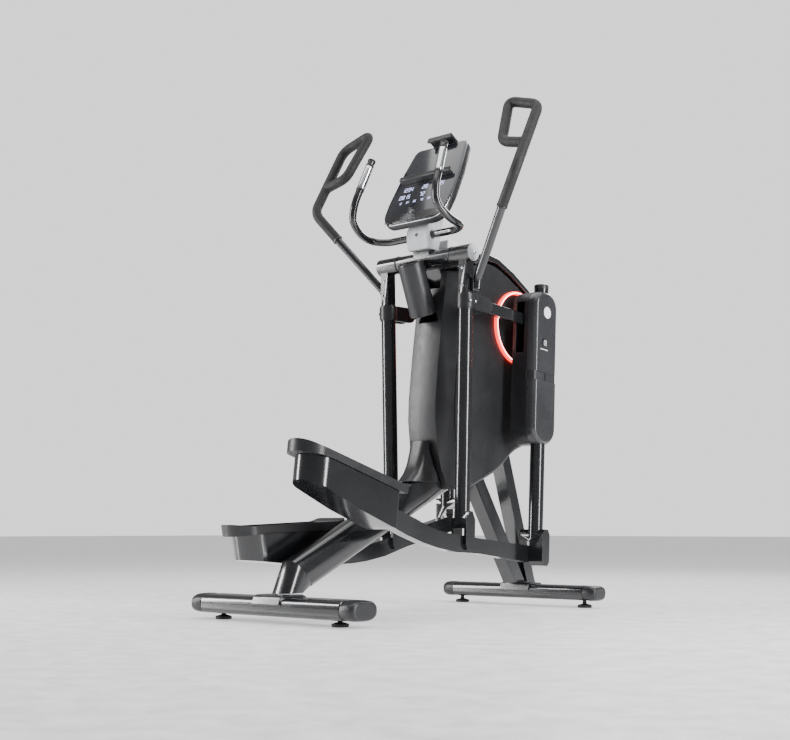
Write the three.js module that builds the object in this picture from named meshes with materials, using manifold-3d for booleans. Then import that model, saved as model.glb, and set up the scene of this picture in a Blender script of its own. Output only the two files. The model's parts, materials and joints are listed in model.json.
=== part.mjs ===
// Elliptical trainer with swinging arms, pedal arms and crank-driven stride rods.
// Millimetres. +X is the user's right, +Y is forward, +Z is up. The floor is Z = 0.
// The origin is the middle of the footprint, on the floor.

import * as THREE from 'three';
import Module from 'manifold-3d';
import { mergeVertices } from 'three/addons/utils/BufferGeometryUtils.js';

const wasm = await Module();
wasm.setup();

// ---------------------------------------------------------------- driving dimensions

const GAP = 0.3; // between neighbours that touch
const DEG = Math.PI / 180;

// Pivots of the right side, as [Y, Z], with the trainer standing in its rest pose.
const ARM_PIVOT = { y: 57, z: 1180 };
const CRANK = { y: 430, z: 979.6, radius: 58 };
const ARM_LENGTH = 953; // arm pivot to pedal-arm pivot
const PEDAL_ARM_LENGTH = 354.4; // pedal-arm pivot to stride-rod pivot
const ROD_LENGTH = 736.6; // stride-rod pivot to crank pin
const LINK_LUG = { forward: 89, drop: 164 }; // link pivot on the swing arm
const LINK_LENGTH = 288;
const ARM_LEAN = { right: -2.1, left: 1.3 }; // degrees, bottom forward is positive
const PIN_ANGLE = { right: -97, left: 83 }; // degrees above +Y on the crank circle
const LINK_SLOPE = { right: -3.9, left: 17.4 }; // degrees, front up is positive

// Where the moving parts lie across the machine, from the middle.
const ARM_X = 175;
const ROD_X = 212;
const LEG_X = [160, 200];
const LINK_X = [162, 184];
const PEDAL_X = [76, 208];
const CAPSULE_X = [142, 204, 242];

const TUBE_RADIUS = 25;
const CROSS_SHAFT_RADIUS = 12;
const CROSS_TUBE_HALF = 112;
const SLEEVE = { from: 114, to: 203, radius: 30 };

const SHROUD_HALF = 105;
const SHELL_WALL = 3;
const RING = { radius: 129, tube: 6, face: 117 };

const REAR = { y: -612, half: 342, z: 47 };
const FRONT = { y: 586, half: 336, z: 50 };
const CONSOLE = { y: -30, z: 1303, recline: 29.7 };

// ---------------------------------------------------------------- materials

const finishes = {
  frame: { color: 0x1d1e21, roughness: 0.38, metalness: 0.6 },
  satin: { color: 0x2a2b2e, roughness: 0.5, metalness: 0.2 },
  gloss: { color: 0x0b0b0d, roughness: 0.15, metalness: 0.1 },
  panel: { color: 0x3a3c40, roughness: 0.45, metalness: 0.3 },
  rubber: { color: 0x111112, roughness: 0.85, metalness: 0.0 },
  steel: { color: 0x9a9ca0, roughness: 0.3, metalness: 1.0 },
  light: { color: 0xff3a2c, roughness: 0.4, metalness: 0.0 },
  pale: { color: 0xb9bcc0, roughness: 0.4, metalness: 0.3 },
  screen: { color: 0x0d1016, roughness: 0.1, metalness: 0.0 },
};

// ---------------------------------------------------------------- solids

function solidOf(geometry) {
  const bare = geometry.index ? geometry.toNonIndexed() : geometry.clone();
  bare.deleteAttribute('normal');
  bare.deleteAttribute('uv');
  const merged = mergeVertices(bare, 1e-4);
  const mesh = new wasm.Mesh({
    numProp: 3,
    vertProperties: new Float32Array(merged.attributes.position.array),
    triVerts: new Uint32Array(merged.index.array),
  });
  return new wasm.Manifold(mesh);
}

function geometryOf(solid) {
  const mesh = solid.getMesh();
  const geometry = new THREE.BufferGeometry();
  geometry.setAttribute('position', new THREE.BufferAttribute(new Float32Array(mesh.vertProperties), 3));
  geometry.setIndex(new THREE.BufferAttribute(new Uint32Array(mesh.triVerts), 1));
  geometry.computeVertexNormals();
  return geometry;
}

function join(first, ...others) {
  return geometryOf(others.reduce((solid, other) => solid.add(solidOf(other)), solidOf(first)));
}

function cut(first, ...others) {
  return geometryOf(others.reduce((solid, other) => solid.subtract(solidOf(other)), solidOf(first)));
}

// The same solid on the other side of the machine.
function mirrored(geometry) {
  const copy = geometry.index ? geometry.toNonIndexed() : geometry.clone();
  copy.deleteAttribute('normal');
  copy.deleteAttribute('uv');
  const position = copy.attributes.position;
  const flipped = new Float32Array(position.array.length);
  for (let corner = 0; corner < position.count; corner += 3) {
    for (let k = 0; k < 3; k += 1) {
      const from = corner + [0, 2, 1][k];
      flipped[(corner + k) * 3] = -position.getX(from);
      flipped[(corner + k) * 3 + 1] = position.getY(from);
      flipped[(corner + k) * 3 + 2] = position.getZ(from);
    }
  }
  copy.setAttribute('position', new THREE.BufferAttribute(flipped, 3));
  return mergeVertices(copy, 1e-4);
}

// A shape from a list of corners, or the shape itself.
function shapeOf(outline) {
  if (outline instanceof THREE.Shape) return outline;
  return new THREE.Shape(outline.map(([a, b]) => new THREE.Vector2(a, b)));
}

// An outline in the YZ plane, extruded along X.
function slab(outline, fromX, toX) {
  const shape = shapeOf(outline);
  const geometry = new THREE.ExtrudeGeometry(shape, {
    depth: toX - fromX, bevelEnabled: false, curveSegments: 3,
  });
  const basis = new THREE.Matrix4().makeBasis(
    new THREE.Vector3(0, 1, 0), new THREE.Vector3(0, 0, 1), new THREE.Vector3(1, 0, 0),
  );
  return geometry.applyMatrix4(basis).translate(fromX, 0, 0);
}

// An outline in the XZ plane, extruded along Y.
function facePlate(outline, fromY, toY) {
  const shape = shapeOf(outline);
  const geometry = new THREE.ExtrudeGeometry(shape, {
    depth: toY - fromY, bevelEnabled: false, curveSegments: 3,
  });
  return geometry.rotateX(Math.PI / 2).translate(0, toY, 0);
}

function block(x, y, z) {
  return new THREE.BoxGeometry(x[1] - x[0], y[1] - y[0], z[1] - z[0])
    .translate((x[0] + x[1]) / 2, (y[0] + y[1]) / 2, (z[0] + z[1]) / 2);
}

// A round bar between two points.
function bar(from, to, radius, sides = 16) {
  const start = new THREE.Vector3(...from);
  const along = new THREE.Vector3(...to).sub(start);
  const up = new THREE.Vector3(0, 1, 0);
  const turn = new THREE.Quaternion().setFromUnitVectors(up, along.clone().normalize());
  return new THREE.CylinderGeometry(radius, radius, along.length(), sides)
    .applyQuaternion(turn).translate(...start.addScaledVector(along, 0.5).toArray());
}

// A disc or drum around an axis that runs along X.
function drum(centre, fromX, toX, radius, sides = 20) {
  return bar([fromX, centre.y, centre.z], [toX, centre.y, centre.z], radius, sides);
}

// A round tube through points, with its corners rounded to the bend radius.
function bentTube(points, radius, bend, sides = 10, steps = 30) {
  const corners = points.map((point) => new THREE.Vector3(...point));
  const path = new THREE.CurvePath();
  let from = corners[0];
  for (let k = 1; k < corners.length - 1; k += 1) {
    const before = corners[k - 1].clone().sub(corners[k]);
    const after = corners[k + 1].clone().sub(corners[k]);
    const reach = Math.min(bend, before.length() * 0.48, after.length() * 0.48);
    const entry = corners[k].clone().addScaledVector(before.normalize(), reach);
    const exit = corners[k].clone().addScaledVector(after.normalize(), reach);
    path.add(new THREE.LineCurve3(from, entry));
    path.add(new THREE.QuadraticBezierCurve3(entry, corners[k], exit));
    from = exit;
  }
  path.add(new THREE.LineCurve3(from, corners[corners.length - 1]));
  const section = new THREE.Shape();
  section.absarc(0, 0, radius, 0, Math.PI * 2);
  return new THREE.ExtrudeGeometry(section, {
    steps, extrudePath: path, curveSegments: sides / 2, bevelEnabled: false,
  });
}

// A solid through closed rings that have the same number of points.
function loft(rings) {
  const count = rings[0].length;
  const positions = rings.flat(2);
  const index = [];
  for (let level = 0; level + 1 < rings.length; level += 1) {
    for (let k = 0; k < count; k += 1) {
      const a = level * count + k;
      const b = level * count + ((k + 1) % count);
      index.push(a, b, b + count, a, b + count, a + count);
    }
  }
  const flat = rings[0].map((point) => new THREE.Vector3(...point));
  const normal = flat.reduce((sum, point, k) => sum.add(point.clone().cross(flat[(k + 1) % count])),
    new THREE.Vector3()).normalize();
  const side = new THREE.Vector3(Math.abs(normal.x) > 0.7 ? 0 : 1, Math.abs(normal.x) > 0.7 ? 1 : 0, 0);
  const u = side.cross(normal).normalize();
  const v = normal.clone().cross(u);
  const outline = flat.map((point) => new THREE.Vector2(point.dot(u), point.dot(v)));
  const last = (rings.length - 1) * count;
  THREE.ShapeUtils.triangulateShape(outline, []).forEach(([a, b, c]) => {
    index.push(a, c, b, last + a, last + b, last + c);
  });
  const geometry = new THREE.BufferGeometry();
  geometry.setAttribute('position', new THREE.Float32BufferAttribute(positions, 3));
  geometry.setIndex(index);
  const enclosed = index.reduce((sum, unused, k) => {
    if (k % 3) return sum;
    const corner = (n) => new THREE.Vector3().fromArray(positions, index[k + n] * 3);
    const [a, b, c] = [corner(0), corner(1), corner(2)];
    return sum + a.dot(b.cross(c));
  }, 0);
  if (enclosed < 0) {
    geometry.setIndex(index.map((unused, k) => index[k - (k % 3) + [0, 2, 1][k % 3]]));
  }
  return geometry;
}

// Rectangle outline with rounded corners, centred on (a, b).
function roundedRectangle(a, b, width, height, radius) {
  const shape = new THREE.Shape();
  const left = a - width / 2;
  const right = a + width / 2;
  const low = b - height / 2;
  const high = b + height / 2;
  shape.moveTo(left + radius, low);
  shape.lineTo(right - radius, low);
  shape.absarc(right - radius, low + radius, radius, -Math.PI / 2, 0);
  shape.lineTo(right, high - radius);
  shape.absarc(right - radius, high - radius, radius, 0, Math.PI / 2);
  shape.lineTo(left + radius, high);
  shape.absarc(left + radius, high - radius, radius, Math.PI / 2, Math.PI);
  shape.lineTo(left, low + radius);
  shape.absarc(left + radius, low + radius, radius, Math.PI, Math.PI * 1.5);
  return shape;
}

// ---------------------------------------------------------------- scene graph helpers

const trainer = new THREE.Group();
trainer.name = 'elliptical_trainer';

function place(parent, name, geometry, finish) {
  const mesh = new THREE.Mesh(geometry, new THREE.MeshStandardMaterial(finishes[finish]));
  mesh.name = name;
  parent.add(mesh);
}

function frameAt(parent, y, z, angle) {
  const group = new THREE.Group();
  group.position.set(0, y, z);
  group.rotation.x = angle;
  parent.add(group);
  return group;
}

// The crossing of two circles in the YZ plane that lies further forward.
function circlesMeet(first, firstRadius, second, secondRadius) {
  const span = Math.hypot(second.y - first.y, second.z - first.z);
  const along = (firstRadius ** 2 - secondRadius ** 2 + span ** 2) / (2 * span);
  const aside = Math.sqrt(firstRadius ** 2 - along ** 2);
  const u = { y: (second.y - first.y) / span, z: (second.z - first.z) / span };
  return { y: first.y + along * u.y + aside * u.z, z: first.z + along * u.z - aside * u.y };
}

// Pivots and angles of one side in the rest pose.
function linkage(side) {
  const lean = ARM_LEAN[side] * DEG;
  const pin = {
    y: CRANK.y + CRANK.radius * Math.cos(PIN_ANGLE[side] * DEG),
    z: CRANK.z + CRANK.radius * Math.sin(PIN_ANGLE[side] * DEG),
  };
  const pedalPivot = {
    y: ARM_PIVOT.y + ARM_LENGTH * Math.sin(lean),
    z: ARM_PIVOT.z - ARM_LENGTH * Math.cos(lean),
  };
  const rodPivot = circlesMeet(pedalPivot, PEDAL_ARM_LENGTH, pin, ROD_LENGTH);
  const linkPivot = {
    y: ARM_PIVOT.y + LINK_LUG.forward * Math.cos(lean) + LINK_LUG.drop * Math.sin(lean),
    z: ARM_PIVOT.z + LINK_LUG.forward * Math.sin(lean) - LINK_LUG.drop * Math.cos(lean),
  };
  return {
    lean,
    pin,
    pedalPivot,
    rodPivot,
    linkPivot,
    legTilt: Math.atan2(rodPivot.z - pedalPivot.z, rodPivot.y - pedalPivot.y),
    rodLean: Math.atan2(pin.y - rodPivot.y, pin.z - rodPivot.z),
    linkSlope: LINK_SLOPE[side] * DEG,
  };
}

// ---------------------------------------------------------------- base

// A stadium-like foot beam across the machine, with a saddle plate in the middle.
function footBeam(spot, depth, height, half) {
  const shape = roundedRectangle(spot.y, spot.z, depth, height, height * 0.42);
  return slab(shape, -half, half);
}

const FOOT_CAP = 52;

function rearBase() {
  const beam = footBeam(REAR, 108, 56, REAR.half - FOOT_CAP);
  const saddle = slab(
    [[-664, 76], [-650, 82], [-574, 82], [-560, 76], [-552, 54], [-672, 54]], -58, 58,
  );
  return join(beam, saddle);
}

function frontBase() {
  const beam = footBeam(FRONT, 80, 50, FRONT.half - FOOT_CAP);
  const saddle = slab([[546, 76], [556, 80], [616, 80], [626, 76], [630, 55], [542, 55]], -62, 62);
  const ears = [-1, 1].flatMap((sign) => [0, 1].map((n) => {
    const x = sign * (205 + n * 32);
    return slab([[600, 34], [600, 62], [662, 58], [670, 46], [662, 34]], x - 3, x + 3);
  }));
  const axles = [-1, 1].map((sign) => bar([sign * 205, 658, 46], [sign * 237, 658, 46], 4, 14));
  return join(beam, saddle, ...ears, ...axles);
}

function footCap(spot, depth, height, half) {
  const inner = half - FOOT_CAP + GAP;
  const profile = [[0, 1.0], [0.45, 1.06], [0.8, 1.02], [0.94, 0.9], [1, 0.72]];
  const sides = 24;
  const rings = profile.map(([along, grow]) => {
    const ring = [];
    for (let k = 0; k < sides; k += 1) {
      const angle = (k / sides) * Math.PI * 2;
      const c = Math.cos(angle);
      const s = Math.sin(angle);
      const y = spot.y + Math.sign(c) * Math.abs(c) ** 0.7 * depth * 0.5 * grow;
      const z = spot.z + Math.sign(s) * Math.abs(s) ** 0.8 * height * 0.5 * grow;
      ring.push([inner + along * (FOOT_CAP - GAP), y, z]);
    }
    return ring;
  });
  return loft(rings);
}

function levellingFoot(x, y, underside) {
  const profile = [[0, 0], [24, 0], [25, 3], [25, 9], [7, 14], [7, underside - GAP], [0, underside - GAP]];
  return new THREE.LatheGeometry(profile.map(([r, z]) => new THREE.Vector2(r, z)), 14)
    .rotateX(Math.PI / 2).translate(x, y, 0);
}

function transportWheel(x) {
  const outer = drum({ y: 658, z: 46 }, x - 11, x + 11, 27, 24);
  return cut(outer, drum({ y: 658, z: 46 }, x - 12, x + 12, 4.3, 14));
}

// The sloping oval beam, given by the low and high edges of its side view.
const BEAM_HALF = 38;
const BEAM_STATIONS = [
  { y: [-500, -580], z: [100, 176] },
  { y: [-128, -218], z: [276, 346] },
  { y: [60, -10], z: [362, 446] },
  { y: [215, 150], z: [430, 522] },
];

function beamRing(station, grow) {
  const ring = [];
  const sides = 24;
  for (let k = 0; k < sides; k += 1) {
    const angle = (k / sides) * Math.PI * 2;
    const c = Math.cos(angle);
    const s = Math.sin(angle);
    const across = Math.sign(c) * Math.abs(c) ** 0.62 * (BEAM_HALF + grow);
    const up = Math.sign(s) * Math.abs(s) ** 0.75;
    const length = Math.hypot(station.y[1] - station.y[0], station.z[1] - station.z[0]);
    const share = up * (0.5 + grow / length);
    ring.push([
      across,
      (station.y[0] + station.y[1]) / 2 + (station.y[1] - station.y[0]) * share,
      (station.z[0] + station.z[1]) / 2 + (station.z[1] - station.z[0]) * share,
    ]);
  }
  return ring;
}

function mainBeam() {
  const sloping = loft(BEAM_STATIONS.map((station) => beamRing(station, 0)));
  const stub = loft([
    beamRing({ y: [-536, -624], z: [84, 84] }, 0),
    beamRing({ y: [-500, -584], z: [104, 178] }, 0),
  ]);
  return join(sloping, stub);
}

function beamClearance() {
  return loft(BEAM_STATIONS.map((station) => beamRing(station, 2)));
}

// Two box tubes that meet on the front foot beam.
const STRUTS = [
  { top: [300, 452], low: [545, 81], depth: 52 },
  { top: [455, 560], low: [612, 81], depth: 46 },
];

function strutOutline(strut, grow) {
  const dy = strut.low[0] - strut.top[0];
  const dz = strut.low[1] - strut.top[1];
  const half = (strut.depth / 2 + grow) * (Math.hypot(dy, dz) / Math.abs(dz));
  return [
    [strut.low[0] - half, strut.low[1]], [strut.low[0] + half, strut.low[1]],
    [strut.top[0] + half, strut.top[1]], [strut.top[0] - half, strut.top[1]],
  ];
}

function frontFork() {
  const legs = STRUTS.map((strut) => slab(strutOutline(strut, 0), -26, 26));
  const foot = block([-48, 48], [556, 606], [80.4, 88]);
  const bridge = slab([[225, 446], [310, 452], [310, 500], [260, 545], [225, 545]], -26, 26);
  const rail = slab([[290, 500], [300, 460], [455, 545], [480, 560], [470, 586], [430, 586]], -20, 20);
  return join(legs[0], legs[1], foot, bridge, rail);
}

// Upright inside the shroud, with the cross tube and shaft that carry the swing arms.
function uprightFrame() {
  const post = block([-26, 26], [126, 182], [545, 1165]);
  const heel = slab([[126, 546], [126, 516], [222, 558], [222, 600], [182, 640], [182, 560]], -26, 26);
  const neck = slab(
    [[30, 1152], [84, 1152], [128, 1090], [182, 1090], [182, 1168], [96, 1208], [30, 1208]], -34, 34,
  );
  const tube = drum(ARM_PIVOT, -CROSS_TUBE_HALF, CROSS_TUBE_HALF, 29, 32);
  const shaft = drum(ARM_PIVOT, -190, 190, CROSS_SHAFT_RADIUS, 24);
  const crankBoss = drum(CRANK, -32, 32, 26, 28);
  const crankArm = slab([[180, 930], [180, 1010], [430, 1000], [430, 958]], -16, 16);
  const solid = join(post, heel, neck, tube, shaft, crankArm, crankBoss);
  return cut(solid, drum(CRANK, -40, 40, 10.5, 24));
}

// ---------------------------------------------------------------- shroud

const SPINE_LEVELS = [
  { z: 402, y: 100 }, { z: 470, y: 62 }, { z: 535, y: 43 }, { z: 638, y: 32 },
  { z: 710, y: 35 }, { z: 850, y: 52 }, { z: 1002, y: 75 }, { z: 1144, y: 100 },
];

function rearSpine() {
  const rings = SPINE_LEVELS.map(({ z, y }) => {
    const outer = [[-100, y + 46], [-58, y], [0, y - 9], [58, y], [100, y + 46]];
    const inner = [[96.5, y + 47.5], [56, y + 4], [0, y - 5], [-56, y + 4], [-96.5, y + 47.5]];
    return [...outer, ...inner].map(([x, at]) => [x, at, z]);
  });
  const cupRoom = bar([0, 52, 962], [0, -28, 1165], 46, 36);
  const neckDoor = block([-36, 36], [20, 200], [1086, 1160]);
  return cut(loft(rings), beamClearance(), cupRoom, neckDoor);
}

const SHELL_OUTLINE = [
  [150, 402], [113, 470], [94, 535], [83, 638], [86, 710], [103, 850], [126, 1002], [151, 1144],
  [190, 1172], [250, 1194], [315, 1190], [400, 1157], [500, 1106], [560, 1056], [592, 980],
  [602, 870], [592, 750], [574, 645], [548, 586], [470, 562], [404, 538], [327, 474],
];
const CAVITY_OUTLINE = [
  [153, 407], [60, 407], [60, 1140], [151, 1140], [191, 1168], [251, 1190], [314, 1186], [398, 1153],
  [498, 1102], [557, 1053], [588, 979], [598, 870], [588, 751], [571, 647], [546, 590], [468, 566],
  [402, 542], [325, 478],
];

function shroudHalf() {
  const outer = slab(SHELL_OUTLINE, GAP / 2, SHROUD_HALF);
  const cavity = slab(CAVITY_OUTLINE, -1, SHROUD_HALF - SHELL_WALL);
  const forkRoom = STRUTS.map((strut) => slab(strutOutline(strut, 1.5), -28, 28));
  const beltSide = drum(CRANK, SHROUD_HALF - 8, SHROUD_HALF + 2, 16, 24);
  const beamDoor = block([-1, 44], [60, 300], [395, 500]);
  const forkDoor = block([-1, 30], [280, 560], [440, 600]);
  const neckDoor = block([-1, 36], [90, 186], [1088, 1215]);
  return cut(outer, cavity, ...forkRoom, beamClearance(), beltSide, beamDoor, forkDoor, neckDoor);
}

function crown() {
  const outer = [
    [96, 1150], [150, 1186], [205, 1212], [262, 1223], [330, 1215], [420, 1178], [510, 1128], [566, 1080],
  ];
  const inner = [
    [564, 1063], [502, 1111], [402, 1162], [318, 1195], [250, 1199.5], [187, 1177], [148, 1149],
  ];
  const body = slab([...outer, ...inner], -SHROUD_HALF - 2, SHROUD_HALF + 2);
  return cut(body, block([-36, 36], [60, 186], [1100, 1214]));
}

function beamBoot() {
  const levels = [
    { z: 425, rear: -66, front: 64 }, { z: 452, rear: -38, front: 62 }, { z: 480, rear: -20, front: 45 },
    { z: 520, rear: -4, front: 33 }, { z: 562, rear: 8, front: 24 },
  ];
  const sides = 20;
  const rings = levels.map(({ z, rear, front }, level) => {
    const ring = [];
    const half = 43 - level * 2;
    for (let k = 0; k < sides; k += 1) {
      const angle = Math.PI + (k / (sides - 1)) * Math.PI;
      const y = front + (rear - front) * Math.abs(Math.sin(angle)) ** 0.55;
      ring.push([half * Math.sign(Math.cos(angle)) * Math.abs(Math.cos(angle)) ** 0.5, y, z]);
    }
    return ring;
  });
  return cut(loft(rings), beamClearance());
}

function lightRing() {
  const profile = [[RING.radius - 9, 0], [RING.radius + 2, 0], [RING.radius + 2, 8], [RING.radius - 2, 12],
    [RING.radius - 9, 12], [RING.radius - 9, 0]];
  return new THREE.LatheGeometry(profile.map(([r, x]) => new THREE.Vector2(r, x)), 36)
    .rotateZ(-Math.PI / 2).translate(SHROUD_HALF + GAP, CRANK.y, CRANK.z);
}

// ---------------------------------------------------------------- drive

const PULLEY = { radius: 118, fromX: 40, toX: 58 };
const FLYWHEEL = { y: 300, z: 705, radius: 96, hub: 20 };

// Axle with an arm and a pin at each end, the pins half a turn apart.
function crankShaft() {
  const parts = [drum(CRANK, -122, 122, 10, 16)];
  for (const [side, sign] of [['right', 1], ['left', -1]]) {
    const angle = PIN_ANGLE[side] * DEG;
    const pin = { y: CRANK.y + CRANK.radius * Math.cos(angle), z: CRANK.z + CRANK.radius * Math.sin(angle) };
    parts.push(drum(CRANK, sign * 110, sign * 126, 26, 20));
    parts.push(drum(pin, sign * 110, sign * 126, 20, 16));
    const across = { y: -Math.sin(angle) * 20, z: Math.cos(angle) * 20 };
    parts.push(slab([
      [CRANK.y + across.y, CRANK.z + across.z], [CRANK.y - across.y, CRANK.z - across.z],
      [pin.y - across.y, pin.z - across.z], [pin.y + across.y, pin.z + across.z],
    ], Math.min(sign * 112, sign * 125), Math.max(sign * 112, sign * 125)));
    parts.push(drum(pin, sign * 120, sign * 139, 9, 12));
  }
  return join(...parts);
}

function crankPulley() {
  const rim = drum(CRANK, PULLEY.fromX, PULLEY.toX, PULLEY.radius, 32);
  const dish = [1, -1].map((sign) => {
    const at = sign > 0 ? [PULLEY.toX - 6, PULLEY.toX + 1] : [PULLEY.fromX - 1, PULLEY.fromX + 6];
    return cut(drum(CRANK, at[0], at[1], PULLEY.radius - 12, 24), drum(CRANK, at[0] - 1, at[1] + 1, 30, 16));
  });
  return cut(rim, ...dish, drum(CRANK, 30, 70, 10 + GAP, 16));
}

// A flat belt around the pulley and the flywheel's hub.
function driveBelt() {
  const big = PULLEY.radius + GAP;
  const small = FLYWHEEL.hub + GAP;
  const dy = FLYWHEEL.y - CRANK.y;
  const dz = FLYWHEEL.z - CRANK.z;
  const heading = Math.atan2(dz, dy);
  const spread = Math.acos((big - small) / Math.hypot(dy, dz));
  const around = (thick) => {
    const shape = new THREE.Shape();
    shape.absarc(CRANK.y, CRANK.z, big + thick, heading + spread, heading - spread + Math.PI * 2);
    shape.absarc(FLYWHEEL.y, FLYWHEEL.z, small + thick, heading - spread, heading + spread);
    const apart = (point, k, all) => k === 0 || point.distanceTo(all[k - 1]) > 0.5;
    return new THREE.Shape(shape.getPoints(10).filter(apart));
  };
  return cut(slab(around(5), 42, 56), slab(around(0.8), 40, 58));
}

function flywheel() {
  const disc = drum(FLYWHEEL, -30, -8, FLYWHEEL.radius, 32);
  const web = drum(FLYWHEEL, -32, -24, FLYWHEEL.radius - 18, 24);
  const hub = drum(FLYWHEEL, -14, 58, FLYWHEEL.hub, 20);
  const axle = drum(FLYWHEEL, -60, 74, 8, 12);
  return join(cut(disc, web), drum(FLYWHEEL, -30, -14, 30, 20), hub, axle);
}

function brakeYoke() {
  const yoke = slab([[186, 648], [186, 764], [232, 764], [232, 648]], -44, 6);
  return cut(yoke, slab([[198, 640], [198, 780], [240, 780], [240, 640]], -34, -4));
}

// ---------------------------------------------------------------- head of the machine

function consoleMast() {
  const side = [[14, 1212], [70, 1212], [92, 1300], [112, 1396], [92.5, 1398], [46.5, 1318], [42, 1307.5],
    [26, 1307.5], [8, 1278], [6, 1250]];
  const barHole = bar([-60, 40, 1262], [60, 40, 1262], 15, 24);
  const screwHole = bar([0, -20, 1262], [0, 20, 1262], 7, 16);
  return cut(slab(side, -44, 44), barHole, screwHole);
}

const CONSOLE_OUTLINE = [
  [-98, 0], [-124, 14], [-138, 42], [-142, 100], [-134, 232], [-118, 336], [-104, 352],
  [104, 352], [118, 336], [134, 232], [142, 100], [138, 42], [124, 14], [98, 0],
];

function scaledOutline(outline, factor, middle) {
  return outline.map(([x, z]) => [x * factor, middle + (z - middle) * factor]);
}

function consoleHousing() {
  const shell = facePlate(CONSOLE_OUTLINE, 8, 40);
  const back = facePlate(scaledOutline(CONSOLE_OUTLINE, 0.72, 150), 38, 58);
  const mastRoom = slab([[39, -20], [39, 120], [70, 120], [70, -20]], -46, 46);
  const clipSlot = block([-32, 32], [18, 30], [250, 360]);
  return cut(join(shell, back), mastRoom, clipSlot);
}

function displayPanel() {
  const glass = facePlate(scaledOutline(CONSOLE_OUTLINE, 0.965, 176), 1, 8 - GAP);
  const ledge = block([-112, 112], [-22, 4], [186, 196]);
  const lip = block([-112, 112], [-22, -16], [186, 204]);
  return join(glass, ledge, lip);
}

function tabletClip() {
  const stem = block([-30, 30], [20, 28], [255, 372]);
  const hook = block([-52, 52], [-24, 28], [364, 374]);
  const lip = block([-52, 52], [-24, -17], [354, 374]);
  return join(stem, hook, lip);
}

// Fixed handlebar: straight cross piece below the console, horns that rise beside it.
function fixedHandlebar() {
  const path = (sign) => [
    [sign * 20, 40, 1262], [sign * 150, 34, 1260], [sign * 196, 6, 1264], [sign * 196, -60, 1276],
    [sign * 186, -116, 1318], [sign * 180, -108, 1380], [sign * 162, -40, 1542],
  ];
  const horns = [1, -1].map((sign) => bentTube(path(sign), 13, 34, 10, 22));
  const cross = bar([-60, 40, 1262], [60, 40, 1262], 13, 24);
  return join(cross, ...horns);
}

// A cup that leans towards the user, with a slanted rim.
const HOLDER = { rim: [0, -22, 1150], base: [0, 42, 988] };

function bottleHolder() {
  const cup = bar(HOLDER.base, [0, -26, 1160], 45, 36);
  const hollow = bar([0, 40, 993], [0, -40, 1195], 40, 36);
  return cut(cup, hollow);
}

function topCover() {
  return slab([[102, 1214], [180, 1216], [196, 1226], [150, 1250], [104, 1254]], -60, 60);
}

// ---------------------------------------------------------------- one side, drawn on the right

// Coordinates of the arm's pieces are [X, forward, up] from the arm pivot.
function swingArm() {
  const pivot = { y: 0, z: 0 };
  const sleeve = drum(pivot, SLEEVE.from, SLEEVE.to, SLEEVE.radius, 36);
  const post = block([159, 191], [-20, 20], [-137, -10]);
  const tube = bar([ARM_X, 0, -136], [ARM_X, 0, -(ARM_LENGTH - 60)], TUBE_RADIUS, 28);
  const bore = drum(pivot, SLEEVE.from - 1, 190.5, CROSS_SHAFT_RADIUS + GAP, 20);
  return cut(join(sleeve, post, tube, pedalFork()), bore);
}

function linkCollar() {
  const z = -LINK_LUG.drop;
  const ring = join(
    bar([ARM_X, 0, z - 26], [ARM_X, 0, z + 26], 28.5, 28),
    bar([ARM_X, 0, z - 21], [ARM_X, 0, z + 21], 31, 28),
  );
  const lugs = [[150, 160.5], [186, 200]].map(([from, to]) => {
    const arc = new THREE.Shape();
    arc.moveTo(20, z - 26);
    arc.lineTo(LINK_LUG.forward, z - 26);
    arc.absarc(LINK_LUG.forward, z, 26, -Math.PI / 2, Math.PI / 2);
    arc.lineTo(20, z + 26);
    return slab(arc, from, to);
  });
  const bore = bar([ARM_X, 0, z - 40], [ARM_X, 0, z + 40], TUBE_RADIUS + GAP, 32);
  const pinHole = drum({ y: LINK_LUG.forward, z }, 140, 196, 8.3, 20);
  return cut(join(ring, ...lugs), bore, pinHole);
}

function linkPin() {
  return drum({ y: 0, z: 0 }, 151, 195.7, 8, 20);
}

function strideLink() {
  const shape = new THREE.Shape();
  shape.absarc(LINK_LENGTH, 0, 19.5, -Math.PI / 2, Math.PI / 2);
  shape.absarc(0, 0, 19.5, Math.PI / 2, Math.PI * 1.5);
  const body = slab(shape, LINK_X[0], LINK_X[1]);
  return cut(body, drum({ y: 0, z: 0 }, 150, 200, 8.3, 20), drum({ y: LINK_LENGTH, z: 0 }, 150, 200, 10, 20));
}

// Points of the hand lever: a thin tube that leaves the arm, then a closed foam loop.
const LEVER = {
  root: [206, 20, -122],
  rise: [208, 20, -84],
  grip: [360, -55, 115],
  elbow: [442, -92, 222],
  outerTop: [428, 50, 478],
  innerTop: [300, 60, 520],
  innerLow: [341, -32, 344],
  outerLow: [437, -38, 320],
};

function handLever() {
  const { root, rise, grip } = LEVER;
  const end = grip.map((value, k) => value - (value - rise[k]) * 0.004);
  const tube = bentTube([root, rise, end], 14.5, 26, 12, 12);
  const pad = slab(roundedRectangle(20, -104, 34, 46, 8), 191.5, 204);
  return join(tube, pad);
}

function handGrip() {
  const { grip, elbow, outerTop, innerTop, innerLow, outerLow } = LEVER;
  const middle = innerTop.map((value, k) => (value + innerLow[k]) / 2);
  const upper = bentTube([grip, elbow, outerTop, innerTop, middle], 18.5, 34, 10, 28);
  const lower = bentTube([middle, innerLow, outerLow], 18.5, 30, 10, 11);
  return join(upper, lower);
}

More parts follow.
